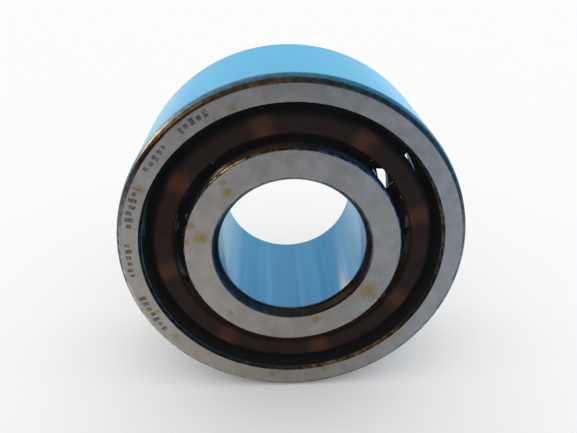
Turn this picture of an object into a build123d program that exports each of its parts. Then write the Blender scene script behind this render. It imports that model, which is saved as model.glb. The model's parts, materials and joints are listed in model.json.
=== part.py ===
from build123d import *
from math import cos, radians, sin
import os

# Double-row angular contact ball bearing, open, with two moulded snap cages.
#
# Frame: millimetres, +Z up. The origin is the bearing's centre and the bearing turns about +Y, so
# the front face is at -Y and the bearing stands on its outside diameter, as a wheel does.
#
# The rings are one piece each. The two ball rows are set back to back: the contact line of each
# row runs from the outer ring's middle rib, through the ball, to the inner ring's side shoulder.
# Each row has its own cage, which opens towards the middle of the bearing.

# Boundary sizes (ISO dimension series 32, bore code 03)
BORE_DIAMETER = 17.0
OUTSIDE_DIAMETER = 40.0
WIDTH = 17.5

# Ring corners: each is a slope that runs out onto the seat, with both of its ends rounded
OUTSIDE_SLOPE_LENGTH = 1.3  # along the axis
OUTSIDE_SLOPE_DEPTH = 0.3  # across the radius
OUTSIDE_SLOPE_RUN_OUT = 6.0  # radius where the slope meets the outside diameter
OUTSIDE_SLOPE_NOSE = 0.6  # radius where the slope meets the face
BORE_SLOPE_LENGTH = 0.95
BORE_SLOPE_DEPTH = 0.57
BORE_SLOPE_RUN_OUT = 1.0
BORE_SLOPE_NOSE = 0.4
EDGE_BREAK = 0.15  # small chamfer on the edges between the rows

# Balls
BALL_DIAMETER = 6.747  # 17/64 inch
BALLS_PER_ROW = 8
PITCH_DIAMETER = 29.0
ROW_OFFSET = 3.8  # from the bearing's middle plane to the centre plane of a row
CONTACT_ANGLE = 30.0
FRONT_ROW_START = 13.0  # angle of the first front ball, from +X towards +Z
ROW_STAGGER = 0.5  # the rear row is turned by this share of the ball spacing

# Raceways
GROOVE_CONFORMITY = 0.52  # groove radius over ball diameter
RUNNING_GAP = 0.04  # between ball and groove at the contact line
OUTER_RIB_DIAMETER = 33.0  # outer ring, high shoulder between the rows
OUTER_LAND_DIAMETER = 34.1  # outer ring, low shoulder beside each face
OUTER_LAND_CHAMFER = 0.35
INNER_SHOULDER_DIAMETER = 25.0  # inner ring, high shoulder beside each face
INNER_SHOULDER_ROUND = 0.3
INNER_LAND_DIAMETER = 24.0  # inner ring, low land between the rows

# Cages
CAGE_INSIDE_DIAMETER = 27.24
CAGE_OUTSIDE_DIAMETER = 32.4
CAGE_RECESS = 0.98  # from the ring's face down to the cage's back
CAGE_RIM_DEPTH = 2.55  # axial depth of the solid rim behind the balls
CAGE_BACK_OUTER_ROUND = 0.85
CAGE_BACK_INNER_ROUND = 0.35
POCKET_CLEARANCE = 0.1  # between ball and pocket wall
CLAW_WALL = 0.9  # thickness of the claws around a ball
CLAW_REACH = 1.35  # how far the claws pass the ball's centre plane
CLAW_TIP_ROUND = 0.2
GATE_MARK_DIAMETER = 0.9  # shallow moulding mark between pockets, on the cage's back
GATE_MARK_DEPTH = 0.08

half_width = WIDTH / 2
bore_radius = BORE_DIAMETER / 2
outside_radius = OUTSIDE_DIAMETER / 2
pitch_radius = PITCH_DIAMETER / 2
ball_radius = BALL_DIAMETER / 2
ball_step = 360 / BALLS_PER_ROW
groove_radius = GROOVE_CONFORMITY * BALL_DIAMETER
# The groove's centre is shifted away from the contact, so that ball and groove meet at the angle.
groove_shift = groove_radius - ball_radius - RUNNING_GAP
groove_shift_radial = groove_shift * cos(radians(CONTACT_ANGLE))
groove_shift_axial = groove_shift * sin(radians(CONTACT_ANGLE))


def band(inner_radius, outer_radius, low, high):
    """Section of a plain ring: X is the radius, Y runs along the bearing's axis."""
    centre = Vector((inner_radius + outer_radius) / 2, (low + high) / 2)
    return Pos(centre.X, centre.Y) * Rectangle(outer_radius - inner_radius, high - low)


def corners(section, radius, level=None):
    """The section's vertices at a radius, on both sides, or only those at +/- level."""
    found = [v for v in section.vertices() if abs(v.X - radius) < 1e-6]
    if level is not None:
        found = [v for v in found if abs(abs(v.Y) - level) < 1e-6]
    return found


def slope_corner(section, seat_radius, length, depth, run_out, nose):
    """Slope off both corners of a seat. Depth is positive on an outside diameter, negative in a bore."""
    for side in (-1, 1):
        face = side * half_width
        start = (seat_radius, face - side * length)
        end = (seat_radius - depth, face)
        section -= Polygon(start, (seat_radius, face), end, align=None)
    section = fillet(corners(section, seat_radius), run_out)
    return fillet(corners(section, seat_radius - depth, half_width), nose)


def turn(section):
    """Revolve a section about the bearing's axis."""
    return revolve(section, Axis.Y, 360)


def make_outer_ring():
    rib_radius = OUTER_RIB_DIAMETER / 2
    land_radius = OUTER_LAND_DIAMETER / 2
    groove_level = ROW_OFFSET + groove_shift_axial
    section = band(rib_radius, outside_radius, -half_width, half_width)
    for side in (-1, 1):
        section -= Pos(pitch_radius - groove_shift_radial, side * groove_level) * Circle(groove_radius)
        counterbore = sorted((side * groove_level, side * half_width))
        section -= band(rib_radius, land_radius, *counterbore)
    section = slope_corner(
        section, outside_radius, OUTSIDE_SLOPE_LENGTH, OUTSIDE_SLOPE_DEPTH,
        OUTSIDE_SLOPE_RUN_OUT, OUTSIDE_SLOPE_NOSE,
    )
    section = chamfer(corners(section, land_radius, half_width), OUTER_LAND_CHAMFER)
    section = chamfer(corners(section, rib_radius), EDGE_BREAK)
    return turn(section)


def make_inner_ring():
    shoulder_radius = INNER_SHOULDER_DIAMETER / 2
    land_radius = INNER_LAND_DIAMETER / 2
    groove_level = ROW_OFFSET - groove_shift_axial
    section = band(bore_radius, shoulder_radius, -half_width, half_width)
    section -= band(land_radius, shoulder_radius, -groove_level, groove_level)
    for side in (-1, 1):
        section -= Pos(pitch_radius + groove_shift_radial, side * groove_level) * Circle(groove_radius)
    section = slope_corner(
        section, bore_radius, BORE_SLOPE_LENGTH, -BORE_SLOPE_DEPTH,
        BORE_SLOPE_RUN_OUT, BORE_SLOPE_NOSE,
    )
    section = fillet(corners(section, shoulder_radius, half_width), INNER_SHOULDER_ROUND)
    section = chamfer(corners(section, shoulder_radius), EDGE_BREAK)
    section = chamfer(corners(section, land_radius), EDGE_BREAK)
    return turn(section)


def at_angle(angle):
    """A turn about the bearing's axis, from +X towards +Z."""
    return Rot(0, -angle, 0)


def row_angles(start=0.0):
    return [start + index * ball_step for index in range(BALLS_PER_ROW)]


def ball_sphere(radius, level):
    """Sphere at the row's first ball. Its poles point radially and its seam faces the open side
    of the pocket, so that neither lies on a wall that it cuts."""
    place = Plane(origin=(pitch_radius, level, 0), x_dir=(0, -1, 0), z_dir=(1, 0, 0))
    return place * Sphere(radius)


def make_cage(side, start):
    """Snap cage of the row on one side: -1 is the front row, 1 is the rear row."""
    inside = CAGE_INSIDE_DIAMETER / 2
    outside = CAGE_OUTSIDE_DIAMETER / 2
    back = half_width - CAGE_RECESS
    rim_level = back - CAGE_RIM_DEPTH
    tip = ROW_OFFSET - CLAW_REACH
    pocket_radius = ball_radius + POCKET_CLEARANCE
    half_step = at_angle(ball_step / 2)

    section = band(inside, outside, tip, back)
    section = fillet(corners(section, inside, tip), CLAW_TIP_ROUND)
    section = fillet(corners(section, outside, tip), CLAW_TIP_ROUND)
    section = fillet(corners(section, outside, back), CAGE_BACK_OUTER_ROUND)
    section = fillet(corners(section, inside, back), CAGE_BACK_INNER_ROUND)
    cage = half_step * turn(section)

    # A valley is the block between two balls, less the wall that stays round each ball.
    valley_width = 2 * pitch_radius * sin(radians(ball_step / 2))
    valley_depth = rim_level - tip + 1
    valley_place = Pos(pitch_radius, rim_level - valley_depth / 2, 0)
    valley = half_step * valley_place * Box(2 * ball_radius, valley_depth, valley_width)
    for neighbour in (0, ball_step):
        valley -= at_angle(neighbour) * ball_sphere(pocket_radius + CLAW_WALL, ROW_OFFSET)

    mark_place = Pos((inside + outside) / 2, back, 0) * Rot(90, 0, 0)
    gate_mark = half_step * mark_place * Cylinder(GATE_MARK_DIAMETER / 2, 2 * GATE_MARK_DEPTH)

    for angle in row_angles():
        cage -= at_angle(angle) * ball_sphere(pocket_radius, ROW_OFFSET)
        cage -= at_angle(angle) * valley
        cage -= at_angle(angle) * gate_mark
    if side < 0:
        cage = mirror(cage, Plane.XZ)
    return at_angle(start) * cage


def make_ball(side, angle):
    return at_angle(angle) * ball_sphere(ball_radius, side * ROW_OFFSET)


os.makedirs("parts", exist_ok=True)
rear_row_start = FRONT_ROW_START + ROW_STAGGER * ball_step

parts = {
    "outer_ring": make_outer_ring(),
    "inner_ring": make_inner_ring(),
    "cage_front": make_cage(-1, FRONT_ROW_START),
    "cage_rear": make_cage(1, rear_row_start),
}
for row, side, start in (("front", -1, FRONT_ROW_START), ("rear", 1, rear_row_start)):
    for number, angle in enumerate(row_angles(start), start=1):
        parts[f"ball_{row}_{number}"] = make_ball(side, angle)

for name, shape in parts.items():
    export_step(shape, f"parts/{name}.step")
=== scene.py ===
import json
from math import atan2, cos, degrees, radians, sin

import bpy
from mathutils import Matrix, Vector


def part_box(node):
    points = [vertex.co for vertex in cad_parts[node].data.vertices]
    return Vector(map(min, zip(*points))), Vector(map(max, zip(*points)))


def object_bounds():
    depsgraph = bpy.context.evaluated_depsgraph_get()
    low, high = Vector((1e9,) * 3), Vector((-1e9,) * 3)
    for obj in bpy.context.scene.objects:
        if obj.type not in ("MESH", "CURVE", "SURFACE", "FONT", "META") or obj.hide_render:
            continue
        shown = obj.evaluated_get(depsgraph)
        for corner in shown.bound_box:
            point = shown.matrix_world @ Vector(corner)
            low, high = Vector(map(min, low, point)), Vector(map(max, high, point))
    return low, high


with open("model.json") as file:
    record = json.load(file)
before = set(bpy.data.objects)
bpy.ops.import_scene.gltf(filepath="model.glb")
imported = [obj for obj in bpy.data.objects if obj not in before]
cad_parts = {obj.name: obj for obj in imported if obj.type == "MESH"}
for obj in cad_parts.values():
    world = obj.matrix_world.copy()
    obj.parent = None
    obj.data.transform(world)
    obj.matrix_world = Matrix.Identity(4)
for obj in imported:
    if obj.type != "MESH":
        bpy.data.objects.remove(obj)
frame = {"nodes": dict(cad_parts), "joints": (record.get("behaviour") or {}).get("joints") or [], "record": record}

# Looks of a double-row angular contact ball bearing: ground steel rings with stained faces,
# bronzed corners that carry painted glints and sheen, and near-black painted shade inside; polished
# balls painted near-black as the shade between the rings; and brown glass-fibre polyamide cages with
# a painted amber glow where they are thin and painted shade on their outer rims. The bearing turns
# about Y and its front face is at -Y. All patterns are worked out in each piece's own frame, so that
# they turn with it.
#
# Sizes are in millimetres unless they say otherwise, and colours are linear RGB. The angle of a place
# on a ring or cage is in degrees from +X towards +Z.

MM = 0.001
BALLS_PER_ROW = 8

bpy.context.view_layer.update()
cad_low, cad_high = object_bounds()


def joint_place(name):
    """Position of a joint, in metres."""
    return Vector(next(j["pos_m"] for j in frame["joints"] if j["name"] == name))


def mount_sizes(name):
    """Radius and half length of a round mount."""
    sizes = next(m["dims"] for m in frame["record"]["mounts"] if m["name"] == name)
    return sizes["r_mm"], sizes["length_mm"] / 2


def millimetres(metres):
    return metres / MM


half_width = millimetres(cad_high.y)
outside_radius, outside_seat_end = mount_sizes("outer_seat")
bore_radius, bore_seat_end = mount_sizes("bore")
cage_back = millimetres(-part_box("cage_front")[0].y)
cage_outside_radius = millimetres(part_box("cage_front")[1].x)


class Nodes:
    """Builds a node tree from function calls. A value is a number, a tuple or another node's socket."""

    def __init__(self, tree):
        self.tree = tree
        self.tree.nodes.clear()

    def add(self, kind, *values, **settings):
        node = self.tree.nodes.new(kind)
        for name, value in settings.items():
            setattr(node, name, value)
        for socket, value in zip(node.inputs, values):
            self.feed(socket, value)
        return node

    def feed(self, socket, value):
        if isinstance(value, bpy.types.NodeSocket):
            self.tree.links.new(value, socket)
        elif value is not None:
            socket.default_value = value

    def math(self, operation, *values):
        return self.add("ShaderNodeMath", *values, operation=operation).outputs[0]

    def times(self, first, *others):
        for other in others:
            first = self.math("MULTIPLY", first, other)
        return first

    def opposite(self, value):
        """1 less a mask."""
        return self.math("SUBTRACT", 1.0, value)

    def highest(self, first, *others):
        for other in others:
            first = self.math("MAXIMUM", first, other)
        return first

    def rise(self, value, start, end, low=0.0, high=1.0):
        """Smooth step from low at start to high at end."""
        node = self.add("ShaderNodeMapRange", value, start, end, low, high)
        node.interpolation_type = "SMOOTHSTEP"
        return node.outputs[0]

    def band(self, value, low, high, soft):
        """1 between low and high, falling to 0 over a soft edge outside them."""
        return self.times(self.rise(value, low - soft, low), self.rise(value, high + soft, high))

    def mix(self, share, first, second, blend="MIX"):
        node = self.add("ShaderNodeMix", data_type="RGBA", blend_type=blend)
        self.feed(node.inputs["Factor"], share)
        for name, colour in (("A", first), ("B", second)):
            socket = next(s for s in node.inputs if s.name == name and s.type == "RGBA")
            self.feed(socket, colour if isinstance(colour, bpy.types.NodeSocket) else (*colour, 1))
        return next(s for s in node.outputs if s.type == "RGBA")

    def ramp(self, value, stops):
        """Colour from a list of (value between 0 and 1, colour)."""
        node = self.add("ShaderNodeValToRGB", value)
        elements = node.color_ramp.elements
        while len(elements) < len(stops):
            elements.new(1.0)
        for element, (position, colour) in zip(elements, stops):
            element.position = position
            element.color = (*colour, 1)
        return node.outputs[0]

    def vector(self, x=0.0, y=0.0, z=0.0):
        return self.add("ShaderNodeCombineXYZ", x, y, z).outputs[0]

    def parts(self, vector):
        return self.add("ShaderNodeSeparateXYZ", vector).outputs

    def vector_math(self, operation, *values, scale=None):
        node = self.add("ShaderNodeVectorMath", *values, operation=operation)
        if scale is not None:
            self.feed(node.inputs["Scale"], scale)
        return node.outputs["Value" if operation in ("DOT_PRODUCT", "DISTANCE", "LENGTH") else "Vector"]

    def scaled(self, vector, scale):
        return self.vector_math("SCALE", vector, scale=scale)

    def turned(self, vector, source, target):
        """A direction carried from one space to another."""
        node = self.add("ShaderNodeVectorTransform", vector, vector_type="VECTOR")
        node.convert_from, node.convert_to = source, target
        return node.outputs[0]

    def noise(self, vector, scale, detail=2.0, roughness=0.5):
        node = self.add("ShaderNodeTexNoise")
        inputs = {"Vector": vector, "Scale": scale, "Detail": detail, "Roughness": roughness}
        for name, value in inputs.items():
            self.feed(node.inputs[name], value)
        return node.outputs[0]

    def output(self, kind, shader):
        node = self.add(kind)
        self.feed(node.inputs["Surface"], shader.outputs[0])


class Surface(Nodes):
    """A material, with the place of the shaded point in its piece's own frame."""

    def __init__(self, name):
        self.material = bpy.data.materials.new(name)
        self.material.use_nodes = True
        super().__init__(self.material.node_tree)
        coordinates = self.add("ShaderNodeTexCoord")
        self.point = self.scaled(coordinates.outputs["Object"], 1 / MM)
        self.x, self.y, self.z = self.parts(self.point)
        self.level = self.math("ABSOLUTE", self.y)
        self.flat = self.vector(self.x, 0.0, self.z)
        self.radius = self.vector_math("LENGTH", self.flat)
        self.around = self.vector_math("NORMALIZE", self.flat)

    def angle(self, point=None):
        """Angle of a place on a ring or cage, from 0 to 360."""
        x, _, z = self.parts(point) if point else (self.x, None, self.z)
        turned = self.math("DEGREES", self.math("ARCTAN2", z, x))
        return self.math("FLOORED_MODULO", turned, 360.0)

    def by_angle(self, stops):
        """Colour from a list of (angle, colour). The last stop joins the first."""
        turns = self.math("DIVIDE", self.angle(), 360.0)
        return self.ramp(turns, [(angle / 360, colour) for angle, colour in stops])

    def near_faces(self, zone):
        """1 close to both faces. A zone is the depth where it begins and the depth where it is full."""
        start, full = zone
        return self.rise(self.level, half_width - start, half_width - full)

    def near_front(self, zone):
        """The same, close to the front face alone."""
        start, full = zone
        return self.rise(self.y, start - half_width, full - half_width)

    def finish(self, colour, metallic, roughness, height, depth, **more):
        """Principled surface. Height is a pattern between 0 and 1, and depth its size."""
        shader = self.add("ShaderNodeBsdfPrincipled")
        bump = self.add("ShaderNodeBump")
        self.feed(bump.inputs["Distance"], depth * MM)
        self.feed(bump.inputs["Height"], height)
        inputs = {"Base Color": colour, "Metallic": metallic, "Roughness": roughness}
        inputs["Normal"] = bump.outputs[0]
        inputs.update({name.replace("_", " "): value for name, value in more.items()})
        for name, value in inputs.items():
            self.feed(shader.inputs[name], value)
        self.output("ShaderNodeOutputMaterial", shader)
        return self.material


def paint(node, material):
    for slot in frame["nodes"][node].material_slots:
        slot.material = material


# Steel rings

# Seats: radius, half length, how far beyond that the corners begin and are plain to see, and colour
OUTER_SEAT = (outside_radius, outside_seat_end, 0.2, 0.65, (0.70, 0.65, 0.61))
BORE_SEAT = (bore_radius, bore_seat_end, 0.1, 0.3, (0.42, 0.43, 0.43))
SEAT_SIDE = (1.0, 0.95)  # how near to the seat's radius its side of the ring begins and is full

# Zones near the faces: depth where each begins and where it is full
FACE_ZONE = (0.014, 0.005)
NOSE_ZONE = (0.42, 0.26)
EDGE_ZONE = (0.45, 0.25)
FILM_AND_SHEEN_ZONE = (2.0, 1.0)
STAIN_ZONE = (0.2, 0.1)
MARK_ZONE = (0.5, 0.1)

FACE_DARK, FACE_LIGHT = (0.50, 0.49, 0.485), (0.62, 0.615, 0.62)
SPECK_COLOUR, SPECK_STRENGTH = (0.40, 0.39, 0.385), 0.35
WARM_COLOUR, WARM_STRENGTH = (0.56, 0.50, 0.40), 0.35
STAIN_COLOUR, STAIN_STRENGTH = (0.46, 0.34, 0.09), 0.85
MARK_COLOUR, MARK_STRENGTH = (0.10, 0.10, 0.10), 0.85
# Lighter axial streaks on the seats are painted reflection streaks, strongest near the front face; the same
# streaks also vary the roughness
STREAK_SHEEN_COLOUR = (0.66, 0.60, 0.64)
STREAK_SHEEN_STRENGTH = (0.15, 0.5)  # at the rear face and near the front one
# Steel inside the bearing, on the balls' side, is painted near-black: painted shade of the gap
INSIDE_SHADE_DARK, INSIDE_SHADE_LIGHT = (0.035, 0.034, 0.034), (0.060, 0.055, 0.050)
CORNER_SHADES = (0.62, 1.38)  # darkest and brightest spots of the corners' tints
EDGE_SHADES = (0.3, 1.6)
INSIDE_METALLIC = 0.85
FILM_METALLIC = 0.1
STEEL_ROUGHNESS = 0.10
STREAK_ROUGHNESS = 0.08  # what the streaks, faces and corners add to it
FACE_ROUGHNESS = (0.22, 0.30)
CORNER_ROUGHNESS = 0.12
STEEL_RELIEF = 0.004  # depth of the grinding lines

# Yellow-brown stains on the front faces: angle, distance from the axis, size
INNER_STAINS = (
    (134, 10.3, 0.8), (131, 11.5, 0.5), (169, 10.6, 0.95), (163, 11.9, 0.6),
    (173, 12.1, 0.5), (286, 10.0, 0.6), (328, 10.6, 1.5), (228, 11.3, 0.6),
)
OUTER_STAINS = (
    (110, 17.8, 0.6), (154, 18.1, 0.6), (219, 18.3, 0.45),
    (283, 17.8, 0.6), (206, 17.8, 0.4), (262, 18.2, 0.6),
)

# Etched groups of radial strokes on the outer ring's front face: first and last angle
MARK_GROUPS = ((117, 129), (136, 148), (154, 170), (176, 189), (198, 215))
MARK_GROUP_SOFTNESS = 0.1  # degrees
MARK_LOW, MARK_HIGH = 18.05, 19.05  # distance of a stroke's ends from the axis
MARK_UNEVENNESS = 0.35  # how much a stroke may lose at each end
MARK_SOFTNESS = 0.05
STROKE_PITCH = 2.5  # degrees
STROKE_HALF_WIDTH = (0.36, 0.26)  # share of the pitch where a stroke begins and where it is full

# Tints of the corners and edges: dark and partly bronzed by hardening, with painted reflections
# fixed at their angles on top, a blue sheen, gold glints and painted shade: (angle, colour)
OUTER_NOSE = (
    (0, (0.24, 0.26, 0.27)), (20, (0.10, 0.15, 0.17)), (40, (0.05, 0.13, 0.18)),
    (60, (0.08, 0.12, 0.12)), (80, (0.12, 0.12, 0.11)), (90, (0.32, 0.21, 0.12)),
    (102, (0.38, 0.20, 0.09)), (113, (0.17, 0.09, 0.040)), (124, (0.14, 0.08, 0.030)),
    (134, (0.10, 0.06, 0.03)), (145, (0.03, 0.028, 0.022)), (160, (0.62, 0.62, 0.56)),
    (185, (0.62, 0.62, 0.63)), (215, (0.42, 0.42, 0.43)), (320, (0.40, 0.41, 0.42)),
    (360, (0.24, 0.26, 0.27)),
)
OUTER_SLOPE = (
    (0, (0.14, 0.18, 0.19)), (20, (0.13, 0.18, 0.19)), (40, (0.09, 0.12, 0.11)),
    (60, (0.035, 0.115, 0.15)), (80, (0.04, 0.145, 0.145)), (100, (0.23, 0.17, 0.145)),
    (118, (0.38, 0.20, 0.11)), (127, (0.70, 0.38, 0.18)), (134, (1.0, 0.62, 0.33)),
    (141, (0.95, 0.58, 0.30)), (146, (0.30, 0.16, 0.08)), (160, (0.20, 0.10, 0.05)),
    (195, (0.50, 0.40, 0.34)), (335, (0.50, 0.40, 0.34)), (360, (0.14, 0.18, 0.19)),
)
OUTER_EDGE = (
    (0, (0.12, 0.11, 0.12)), (30, (0.08, 0.07, 0.07)), (90, (0.04, 0.04, 0.04)),
    (150, (0.010, 0.014, 0.014)), (185, (0.010, 0.022, 0.024)), (215, (0.012, 0.028, 0.032)),
    (240, (0.04, 0.035, 0.025)), (262, (0.20, 0.12, 0.05)), (284, (0.42, 0.26, 0.13)),
    (308, (0.26, 0.14, 0.05)), (325, (0.05, 0.04, 0.04)), (360, (0.12, 0.11, 0.12)),
)
BORE_NOSE = (
    (0, (0.12, 0.12, 0.15)), (35, (0.12, 0.13, 0.15)), (70, (0.44, 0.46, 0.50)),
    (135, (0.44, 0.46, 0.50)), (160, (0.05, 0.07, 0.10)), (180, (0.015, 0.045, 0.075)),
    (200, (0.02, 0.10, 0.17)), (225, (0.035, 0.09, 0.11)), (250, (0.085, 0.11, 0.15)),
    (265, (0.16, 0.155, 0.14)), (290, (0.08, 0.06, 0.05)), (302, (0.022, 0.018, 0.013)),
    (325, (0.018, 0.016, 0.012)), (340, (0.16, 0.145, 0.17)), (360, (0.12, 0.12, 0.15)),
)
BORE_SLOPE = (
    (0, (0.12, 0.12, 0.15)), (60, (0.12, 0.13, 0.15)), (120, (0.12, 0.13, 0.15)),
    (180, (0.015, 0.05, 0.08)), (200, (0.03, 0.12, 0.20)), (225, (0.035, 0.09, 0.11)),
    (250, (0.085, 0.11, 0.15)), (265, (0.16, 0.155, 0.14)), (280, (0.12, 0.12, 0.08)),
    (290, (0.08, 0.06, 0.05)), (302, (0.022, 0.018, 0.013)), (325, (0.018, 0.016, 0.012)),
    (340, (0.16, 0.145, 0.17)), (360, (0.12, 0.12, 0.15)),
)
INNER_EDGE = (
    (0, (0.10, 0.15, 0.20)), (14, (0.10, 0.20, 0.29)), (48, (0.05, 0.17, 0.31)),
    (66, (0.05, 0.10, 0.17)), (82, (0.16, 0.12, 0.09)), (104, (0.26, 0.16, 0.08)),
    (117, (0.50, 0.37, 0.20)), (127, (0.50, 0.37, 0.20)), (138, (0.10, 0.08, 0.06)),
    (200, (0.12, 0.08, 0.05)), (330, (0.12, 0.08, 0.05)), (360, (0.10, 0.15, 0.20)),
)
# Brown oil film on the inner ring's shoulders, with a painted blue sheen on one side and a painted
# gold glint
INNER_FILM_AND_SHEEN = (
    (0, (0.02, 0.02, 0.02)), (40, (0.02, 0.025, 0.03)), (55, (0.01, 0.045, 0.12)),
    (62, (0.01, 0.04, 0.11)), (78, (0.015, 0.013, 0.017)), (92, (0.037, 0.02, 0.008)),
    (110, (0.085, 0.022, 0.008)), (123, (0.06, 0.034, 0.014)), (128, (0.52, 0.44, 0.29)),
    (131, (0.50, 0.42, 0.27)), (136, (0.04, 0.027, 0.022)), (160, (0.02, 0.017, 0.015)),
    (200, (0.02, 0.02, 0.02)), (360, (0.02, 0.02, 0.02)),
)


def stain_mask(s, places, seed):
    """Soft-edged blots at the places, with ragged outlines."""
    ragged = s.noise(s.vector_math("ADD", s.point, (seed, seed, seed)), 1.6, 4.0, 0.65)
    mask = 0.0
    for angle, distance, size in places:
        centre = (distance * cos(radians(angle)), 0.0, distance * sin(radians(angle)))
        off = s.vector_math("DISTANCE", s.flat, centre)
        off = s.math("MULTIPLY_ADD", s.math("SUBTRACT", ragged, 0.5), 2.0 * size, off)
        mask = s.highest(mask, s.rise(off, 1.3 * size, 0.0))
    return mask


def mark_mask(s):
    """Groups of plain radial strokes of uneven length, which spell nothing."""
    angle = s.angle()
    strokes = s.math("DIVIDE", angle, STROKE_PITCH)
    index = s.math("FLOOR", strokes)
    across = s.math("ABSOLUTE", s.math("SUBTRACT", s.math("FRACT", strokes), 0.5))
    ends = s.parts(s.add("ShaderNodeTexWhiteNoise", None, index, noise_dimensions="1D").outputs["Color"])
    low = s.math("MULTIPLY_ADD", ends[0], MARK_UNEVENNESS, MARK_LOW)
    high = s.math("MULTIPLY_ADD", ends[1], -MARK_UNEVENNESS, MARK_HIGH)
    stroke = s.times(
        s.rise(across, *STROKE_HALF_WIDTH),
        s.rise(s.math("SUBTRACT", s.radius, low), -MARK_SOFTNESS, MARK_SOFTNESS),
        s.rise(s.math("SUBTRACT", high, s.radius), -MARK_SOFTNESS, MARK_SOFTNESS),
    )
    groups = s.highest(*[s.band(angle, first, last, MARK_GROUP_SOFTNESS) for first, last in MARK_GROUPS])
    worn = s.rise(s.noise(s.point, 3.5, 3.0, 0.7), 0.33, 0.55, 0.35, 1.0)
    return s.times(stroke, groups, worn, s.near_front(MARK_ZONE))


def ground_face(s, mottle, grain, stains, seed, marked):
    """Colour of a ring's faces: cloudy grey with specks, warm patches, stains and any marks."""
    colour = s.mix(s.rise(mottle, 0.3, 0.7), FACE_DARK, FACE_LIGHT)
    colour = s.mix(s.times(s.rise(grain, 0.45, 0.75), SPECK_STRENGTH), colour, SPECK_COLOUR)
    warm = s.rise(s.noise(s.point, 0.9, 3.0), 0.52, 0.72)
    colour = s.mix(s.times(warm, WARM_STRENGTH), colour, WARM_COLOUR)
    stain = s.times(stain_mask(s, stains, seed), s.near_front(STAIN_ZONE))
    colour = s.mix(s.times(stain, STAIN_STRENGTH), colour, STAIN_COLOUR)
    if marked:
        colour = s.mix(s.times(mark_mask(s), MARK_STRENGTH), colour, MARK_COLOUR)
    return colour


def ring_steel(name, seat, stains, nose_tints, slope_tints, edge_tints, film_and_sheen_tints=None, marked=False):
    """Bearing steel: ground faces and seat, corners in dark and bronze temper colours with painted
    glints and sheen, and a near-black painted shade inside. Each corner of the seat has a slope and a
    rounded nose at the face; the edge is the corner on the side of the balls."""
    seat_radius, seat_end, corner_start, corner_full, seat_steel = seat
    s = Surface(name)
    face = s.near_faces(FACE_ZONE)
    off_face = s.opposite(face)
    seat_side = s.rise(s.math("ABSOLUTE", s.math("SUBTRACT", s.radius, seat_radius)), *SEAT_SIDE)
    ball_side = s.opposite(seat_side)
    beyond_seat = s.rise(s.level, seat_end + corner_start, seat_end + corner_full)
    corner = s.times(seat_side, beyond_seat, off_face)
    plain_seat = s.times(seat_side, s.opposite(s.highest(face, corner)))
    edge = s.times(ball_side, s.near_faces(EDGE_ZONE), off_face)
    # Oil film zone, which also carries a painted sheen and glint
    film_and_sheen = s.times(ball_side, s.near_faces(FILM_AND_SHEEN_ZONE)) if film_and_sheen_tints else 0.0
    # Corners and edges take temper colours with painted glints, sheen and shade
    tempered_and_glinting = s.highest(corner, edge)

    mottle = s.noise(s.point, 0.55, 5.0, 0.62)
    grain = s.noise(s.point, 6.0, 3.0, 0.6)
    rings = s.noise(s.vector(s.radius, 0.0, 0.0), 7.0, 3.0, 0.6)
    circling = s.noise(s.vector(s.y, 0.0, 0.0), 9.0, 4.0, 0.7)
    streaks = s.noise(s.around, 9.0, 3.0, 0.65)
    patchy = s.rise(s.noise(s.point, 1.3, 5.0, 0.7), 0.35, 0.65)

    # Painted reflection streaks on the seat, fading towards the rear face
    sheen_fading = s.rise(s.y, half_width, -0.6 * half_width, *STREAK_SHEEN_STRENGTH)
    seat_colour = s.mix(s.times(s.rise(streaks, 0.45, 0.72), sheen_fading), seat_steel, STREAK_SHEEN_COLOUR)
    # Tints by angle: temper colours with painted reflections fixed at their angles
    corner_colour = s.mix(s.near_faces(NOSE_ZONE), s.by_angle(slope_tints), s.by_angle(nose_tints))
    corner_colour = s.scaled(corner_colour, s.rise(patchy, 0.0, 1.0, *CORNER_SHADES))
    edge_colour = s.scaled(s.by_angle(edge_tints), s.rise(patchy, 0.2, 0.9, *EDGE_SHADES))
    # Inside the bearing the steel takes a near-black painted shade
    colour = s.mix(plain_seat, s.mix(mottle, INSIDE_SHADE_DARK, INSIDE_SHADE_LIGHT), seat_colour)
    if film_and_sheen_tints:
        colour = s.mix(film_and_sheen, colour, s.by_angle(film_and_sheen_tints))
    colour = s.mix(tempered_and_glinting, colour, s.mix(edge, corner_colour, edge_colour))
    colour = s.mix(face, colour, ground_face(s, mottle, grain, stains, seat_radius, marked))

    hidden_metallic = s.rise(film_and_sheen, 0.0, 1.0, INSIDE_METALLIC, FILM_METALLIC)
    metallic = s.rise(s.highest(face, plain_seat, tempered_and_glinting), 0.0, 1.0, hidden_metallic, 1.0)
    roughness = s.math("MULTIPLY_ADD", streaks, STREAK_ROUGHNESS, STEEL_ROUGHNESS)
    roughness = s.math("ADD", roughness, s.times(face, s.rise(mottle, 0.2, 0.8, *FACE_ROUGHNESS)))
    roughness = s.math("ADD", roughness, s.times(tempered_and_glinting, CORNER_ROUGHNESS))
    face_lines = s.times(face, s.math("ADD", s.times(rings, 0.4), grain))
    lines = s.math("ADD", face_lines, s.times(plain_seat, circling, 0.5))
    # Glancing reflections stay on the faces, seat and corners; on the balls' side they are taken out as painted
    # shade
    glancing_and_shade = s.mix(s.highest(face, seat_side), (0.0, 0.0, 0.0), (1.0, 1.0, 1.0))
    return s.finish(colour, metallic, roughness, lines, STEEL_RELIEF, Specular_Tint=glancing_and_shade)


# Balls

# Polished balls painted near-black, their glancing reflections turned down: painted shade of the gap between the
# rings
BALL_SHADE_DARK, BALL_SHADE_LIGHT = (0.045, 0.045, 0.048), (0.065, 0.065, 0.070)
BALL_ROUGHNESS = (0.06, 0.14)
BALL_RELIEF = 0.0005
BALL_GLANCING_SHADE = (0.3, 0.3, 0.3, 1)


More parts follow.
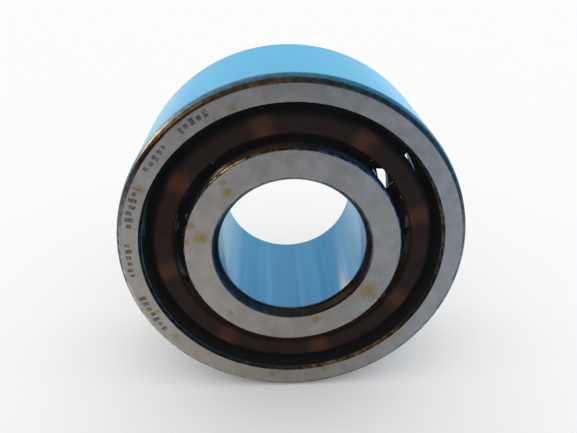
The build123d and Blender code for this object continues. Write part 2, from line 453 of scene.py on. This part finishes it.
def polished_ball_steel():
    s = Surface("polished_ball_steel")
    haze = s.noise(s.point, 0.7, 3.0)
    colour = s.mix(haze, BALL_SHADE_DARK, BALL_SHADE_LIGHT)
    roughness = s.rise(haze, 0.3, 0.7, *BALL_ROUGHNESS)
    return s.finish(colour, 1.0, roughness, haze, BALL_RELIEF, Specular_Tint=BALL_GLANCING_SHADE)


# Cages

CAGE_BROWN, CAGE_BROWN_FIBRES = (0.008, 0.0030, 0.0020), (0.012, 0.0050, 0.0035)
# Painted amber glow of light through thin pocket bottoms
CAGE_THIN_GLOW = (0.046, 0.0135, 0.003)
# Painted amber glow of light through the thin bore side of a cage
CAGE_BORE_GLOW = (0.080, 0.024, 0.002)
# Near-black painted shade on the cage's outer rim, deep in the gap
CAGE_RIM_SHADE = (0.003, 0.003, 0.0035)
CAGE_ROUGHNESS = (0.38, 0.5)
CAGE_RELIEF = 0.01
CAGE_GLOSS, CAGE_GLOSS_COLOUR = 0.25, (1.0, 0.74, 0.70, 1)

# Where a cage's painted glow and shade begin and where they are full
THIN_GLOW_ANGLE = (7.5, 0.5)  # degrees off the middle of a pocket
THIN_GLOW_DEPTH = (0.7, 0.1)  # below the cage's back
BORE_GLOW_DEPTH = (0.2, 0.5)  # below the cage's back
BORE_GLOW_SIDE = (14.0, 13.65)  # distance from the axis
RIM_SHADE_DEPTH = (0.9, 0.3)  # below the cage's outside


def cage_plastic(name, side, first_angle):
    """Brown glass-fibre polyamide with a painted amber glow, standing for light through the plastic,
    where a pocket's bottom or the bore side is thin. A pocket is looked up a millimetre behind the
    shaded point, along the line of sight."""
    s = Surface(name)
    incoming = s.add("ShaderNodeNewGeometry").outputs["Incoming"]
    inward = s.scaled(s.turned(incoming, "WORLD", "OBJECT"), -1.0)
    behind = s.vector_math("ADD", s.point, inward)
    step = 360 / BALLS_PER_ROW
    off_first = s.math("ADD", s.angle(behind), step / 2 - first_angle)
    off_ball = s.math("ABSOLUTE", s.math("SUBTRACT", s.math("FLOORED_MODULO", off_first, step), step / 2))
    back = s.rise(s.times(s.y, float(side)), *[cage_back - depth for depth in THIN_GLOW_DEPTH])
    cloud = s.noise(s.point, 1.2, 3.0)
    # Painted amber glow where a pocket's bottom is thin
    thin = s.times(s.rise(off_ball, *THIN_GLOW_ANGLE), back, s.rise(cloud, 0.1, 0.6, 0.6, 1.0))
    # Painted amber glow on the cage's bore side, where light shines in through the gap
    deep = s.rise(s.level, *[cage_back - depth for depth in BORE_GLOW_DEPTH])
    bore_side_glow = s.times(s.rise(s.radius, *BORE_GLOW_SIDE), deep)
    # Painted shade on the cage's outer rim
    rim_shade = s.rise(s.radius, *[cage_outside_radius - depth for depth in RIM_SHADE_DEPTH])
    fibres = s.noise(s.point, 5.0, 3.0)
    colour = s.mix(fibres, CAGE_BROWN, CAGE_BROWN_FIBRES)
    colour = s.mix(bore_side_glow, colour, CAGE_BORE_GLOW)
    colour = s.mix(rim_shade, colour, CAGE_RIM_SHADE)
    colour = s.mix(thin, colour, CAGE_THIN_GLOW)
    roughness = s.rise(fibres, 0.3, 0.7, *CAGE_ROUGHNESS)
    return s.finish(
        colour, 0.0, roughness, fibres, CAGE_RELIEF,
        Specular_IOR_Level=CAGE_GLOSS, Specular_Tint=CAGE_GLOSS_COLOUR)


paint("outer_ring", ring_steel(
    "outer_ring_ground_steel", OUTER_SEAT, OUTER_STAINS, OUTER_NOSE, OUTER_SLOPE, OUTER_EDGE, marked=True))
paint("inner_ring", ring_steel(
    "inner_ring_ground_steel", BORE_SEAT, INNER_STAINS, BORE_NOSE, BORE_SLOPE, INNER_EDGE, INNER_FILM_AND_SHEEN))
balls = polished_ball_steel()
for row, side in (("front", -1), ("rear", 1)):
    first = joint_place(f"ball_{row}_1_roll")
    paint(f"cage_{row}", cage_plastic(f"cage_plastic_{row}", side, degrees(atan2(first.z, first.x))))
    for number in range(1, BALLS_PER_ROW + 1):
        paint(f"ball_{row}_{number}", balls)


# The studio: a pale floor under a soft dome. Polished steel mirrors it as a room that keeps its place
# beside the camera: light blue beyond the bearing, dim on the camera's side, with two warm lamps on
# the left.

CAMERA_AZIMUTH = -2.31  # degrees
CAMERA_ELEVATION = 26.99  # degrees
CAMERA_DISTANCE = 74.94
CAMERA_LENS = 36.87
CAMERA_SENSOR = 36
CAMERA_TARGET = (-0.163, 0.0, 0.027)
CAMERA_CLIP = 1
BLACK_LEVEL = (-0.0040, -0.0042, -0.0047)  # a small camera's veil over the darkest parts
FLOOR_REACH = 600.0
FLOOR_COLOUR = (0.93, 0.93, 0.93)
DOME_LIGHT = (1.05, 1.05, 1.05)
BACKGROUND = (1.0, 1.0, 1.0)

# Mirrored colours by height above the horizon in degrees
BEYOND = (
    (-90, (0.35, 0.50, 0.60)), (-30, (0.40, 0.64, 0.90)), (-12, (0.46, 0.78, 1.0)),
    (0, (0.27, 0.70, 1.08)), (12, (0.20, 0.67, 1.04)), (32, (0.17, 0.52, 0.92)),
    (45, (0.12, 0.36, 0.60)), (60, (0.05, 0.15, 0.24)), (80, (0.04, 0.04, 0.05)),
)
BEFORE = (
    (-90, (0.56, 0.52, 0.45)), (-58, (0.66, 0.58, 0.44)), (-43, (0.69, 0.59, 0.41)),
    (-36, (0.53, 0.50, 0.46)), (-30, (0.46, 0.46, 0.48)), (-22, (0.41, 0.40, 0.405)),
    (-15, (0.06, 0.065, 0.07)), (-4, (0.06, 0.065, 0.07)), (20, (0.095, 0.095, 0.095)),
    (45, (0.085, 0.085, 0.085)), (70, (0.06, 0.06, 0.06)),
)
RIGHT = (
    (-60, (0.38, 0.41, 0.46)), (-28, (0.46, 0.55, 0.70)), (-21, (0.33, 0.40, 0.48)),
    (-9, (0.18, 0.30, 0.40)), (15, (0.12, 0.24, 0.40)), (40, (0.06, 0.12, 0.22)),
    (65, (0.06, 0.06, 0.065)),
)
LEFT = (
    (-60, (0.25, 0.24, 0.23)), (-30, (0.16, 0.155, 0.15)), (0, (0.08, 0.07, 0.06)),
    (40, (0.10, 0.075, 0.05)), (70, (0.06, 0.05, 0.04)),
)
BEYOND_SIDES = (0.65, 0.74, 0.83)  # what is left of the light at the sides of the far end

# Where one part of the room passes into the next, along a unit step to the right or ahead
BEFORE_TO_BEYOND = (-0.2, 0.35)
BEFORE_TO_RIGHT = (0.22, 0.34)
BEYOND_TO_SIDES = (0.28, 0.5)
ALL_TO_RIGHT = (0.45, 0.9)
ALL_TO_LEFT = (-0.6, -0.9)
BEFORE_LIGHT = (-0.22, 0.19, 1.17, 0.56)  # first and last place, and the light at each of them

# Lamps: direction to the right, ahead and up; closeness where the edge begins and ends; colour
LAMPS = (
    ((-0.82, -0.20, 0.53), 0.92, 0.985, (2.2, 1.7, 1.2)),
    ((-0.697, 0.709, 0.105), 0.986, 0.9936, (1.7, 1.4, 1.1)),
)


def mirrored_room(n, direction):
    """What polished steel mirrors in a direction."""
    ahead_x, ahead_y, _ = n.parts(n.turned((0.0, 0.0, 1.0), "CAMERA", "WORLD"))
    ahead = n.vector_math("NORMALIZE", n.vector(ahead_x, ahead_y, 0.0))
    right = n.vector_math("CROSS_PRODUCT", ahead, (0.0, 0.0, 1.0))
    to_right = n.vector_math("DOT_PRODUCT", direction, right)
    to_ahead = n.vector_math("DOT_PRODUCT", direction, ahead)
    height = n.parts(direction)[2]

    def by_height(stops):
        places = [((sin(radians(degrees_up)) + 1) / 2, colour) for degrees_up, colour in stops]
        return n.ramp(n.math("MULTIPLY_ADD", height, 0.5, 0.5), places)

    before = n.scaled(by_height(BEFORE), n.rise(to_right, *BEFORE_LIGHT))
    before = n.mix(n.rise(to_right, *BEFORE_TO_RIGHT), before, by_height(RIGHT))
    sides = n.rise(n.math("ABSOLUTE", to_right), *BEYOND_TO_SIDES)
    beyond = n.mix(sides, by_height(BEYOND), BEYOND_SIDES, "MULTIPLY")
    colour = n.mix(n.rise(to_ahead, *BEFORE_TO_BEYOND), before, beyond)
    colour = n.mix(n.rise(to_right, *ALL_TO_RIGHT), colour, by_height(RIGHT))
    colour = n.mix(n.rise(to_right, *ALL_TO_LEFT), colour, by_height(LEFT))
    place = n.vector(to_right, to_ahead, height)
    for toward, edge_start, edge_end, light in LAMPS:
        closeness = n.vector_math("DOT_PRODUCT", place, toward)
        colour = n.mix(n.rise(closeness, edge_start, edge_end), colour, light)
    return colour


def make_floor():
    mesh = bpy.data.meshes.new("floor")
    reach = FLOOR_REACH * MM
    ends = ((-1, -1), (1, -1), (1, 1), (-1, 1))
    mesh.from_pydata([(x * reach, y * reach, -outside_radius * MM) for x, y in ends], [], [(0, 1, 2, 3)])
    floor = bpy.data.objects.new("floor", mesh)
    bpy.context.scene.collection.objects.link(floor)
    material = bpy.data.materials.new("pale_floor")
    material.use_nodes = True
    n = Nodes(material.node_tree)
    incoming = n.add("ShaderNodeNewGeometry").outputs["Incoming"]
    mirrored = mirrored_room(n, n.scaled(incoming, -1.0))
    glossy = n.add("ShaderNodeLightPath").outputs["Is Glossy Ray"]
    matte = n.add("ShaderNodeBsdfDiffuse", n.mix(glossy, FLOOR_COLOUR, mirrored))
    n.output("ShaderNodeOutputMaterial", matte)
    mesh.materials.append(material)


def make_dome():
    world = bpy.data.worlds.new("dome")
    bpy.context.scene.world = world
    world.use_nodes = True
    n = Nodes(world.node_tree)
    mirrored = mirrored_room(n, n.add("ShaderNodeTexCoord").outputs["Generated"])
    path = n.add("ShaderNodeLightPath")
    colour = n.mix(path.outputs["Is Glossy Ray"], DOME_LIGHT, mirrored)
    colour = n.mix(path.outputs["Is Camera Ray"], colour, BACKGROUND)
    n.output("ShaderNodeOutputWorld", n.add("ShaderNodeBackground", colour, 1.0))


def make_camera():
    azimuth, elevation = radians(CAMERA_AZIMUTH), radians(CAMERA_ELEVATION)
    back = Vector((sin(azimuth) * cos(elevation), -cos(azimuth) * cos(elevation), sin(elevation)))
    data = bpy.data.cameras.new("camera")
    data.sensor_width = CAMERA_SENSOR
    data.lens = CAMERA_LENS
    data.clip_start = CAMERA_CLIP * MM
    camera = bpy.data.objects.new("camera", data)
    camera.location = (Vector(CAMERA_TARGET) + back * CAMERA_DISTANCE) * MM
    camera.rotation_mode = "QUATERNION"
    camera.rotation_quaternion = (-back).to_track_quat("-Z", "Y")
    bpy.context.scene.collection.objects.link(camera)
    bpy.context.scene.camera = camera


make_floor()
make_dome()
make_camera()
view = bpy.context.scene.view_settings
view.view_transform = "Standard"
view.use_curve_mapping = True
view.curve_mapping.black_level = BLACK_LEVEL
view.curve_mapping.update()
